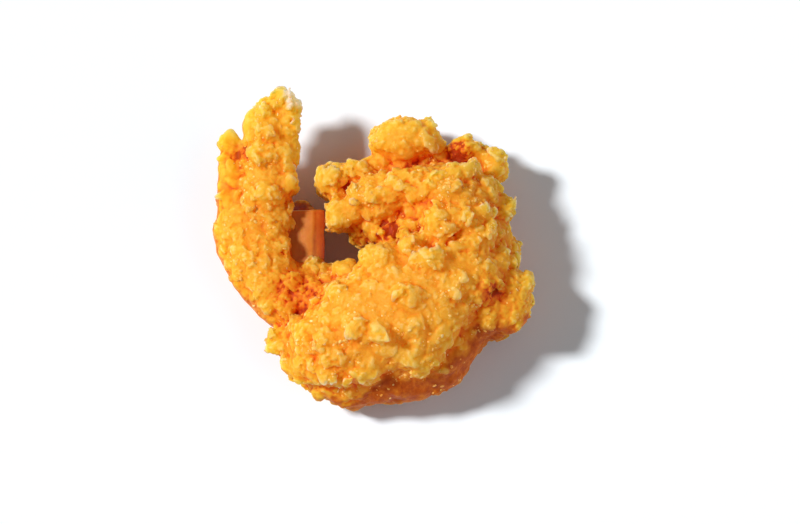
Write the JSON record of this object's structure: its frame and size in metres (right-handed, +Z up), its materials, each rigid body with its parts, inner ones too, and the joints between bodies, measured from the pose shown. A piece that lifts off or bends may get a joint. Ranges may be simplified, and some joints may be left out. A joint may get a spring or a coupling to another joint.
{
  "type": "fried butterfly shrimp",
  "caption": "Battered, deep-fried butterfly shrimp, curled flat on its side with the tail fan left on and a gap between tail and head end.",
  "frame": {"origin": "middle of the part's footprint box, on the plane it rests on", "axes": "+Z up from the table; +Y from the belly towards the tail's tip; +X from the tail towards the bend of the body"},
  "size_m": [0.0536, 0.0532, 0.0203],
  "materials": {
    "crust": "deep-fried batter crust, golden, craggy, with an oily sheen; bare tail shell is smooth and orange-red"
  },
  "bodies": {
    "root": {"shrimp": "crust"}
  },
  "joints": []
}
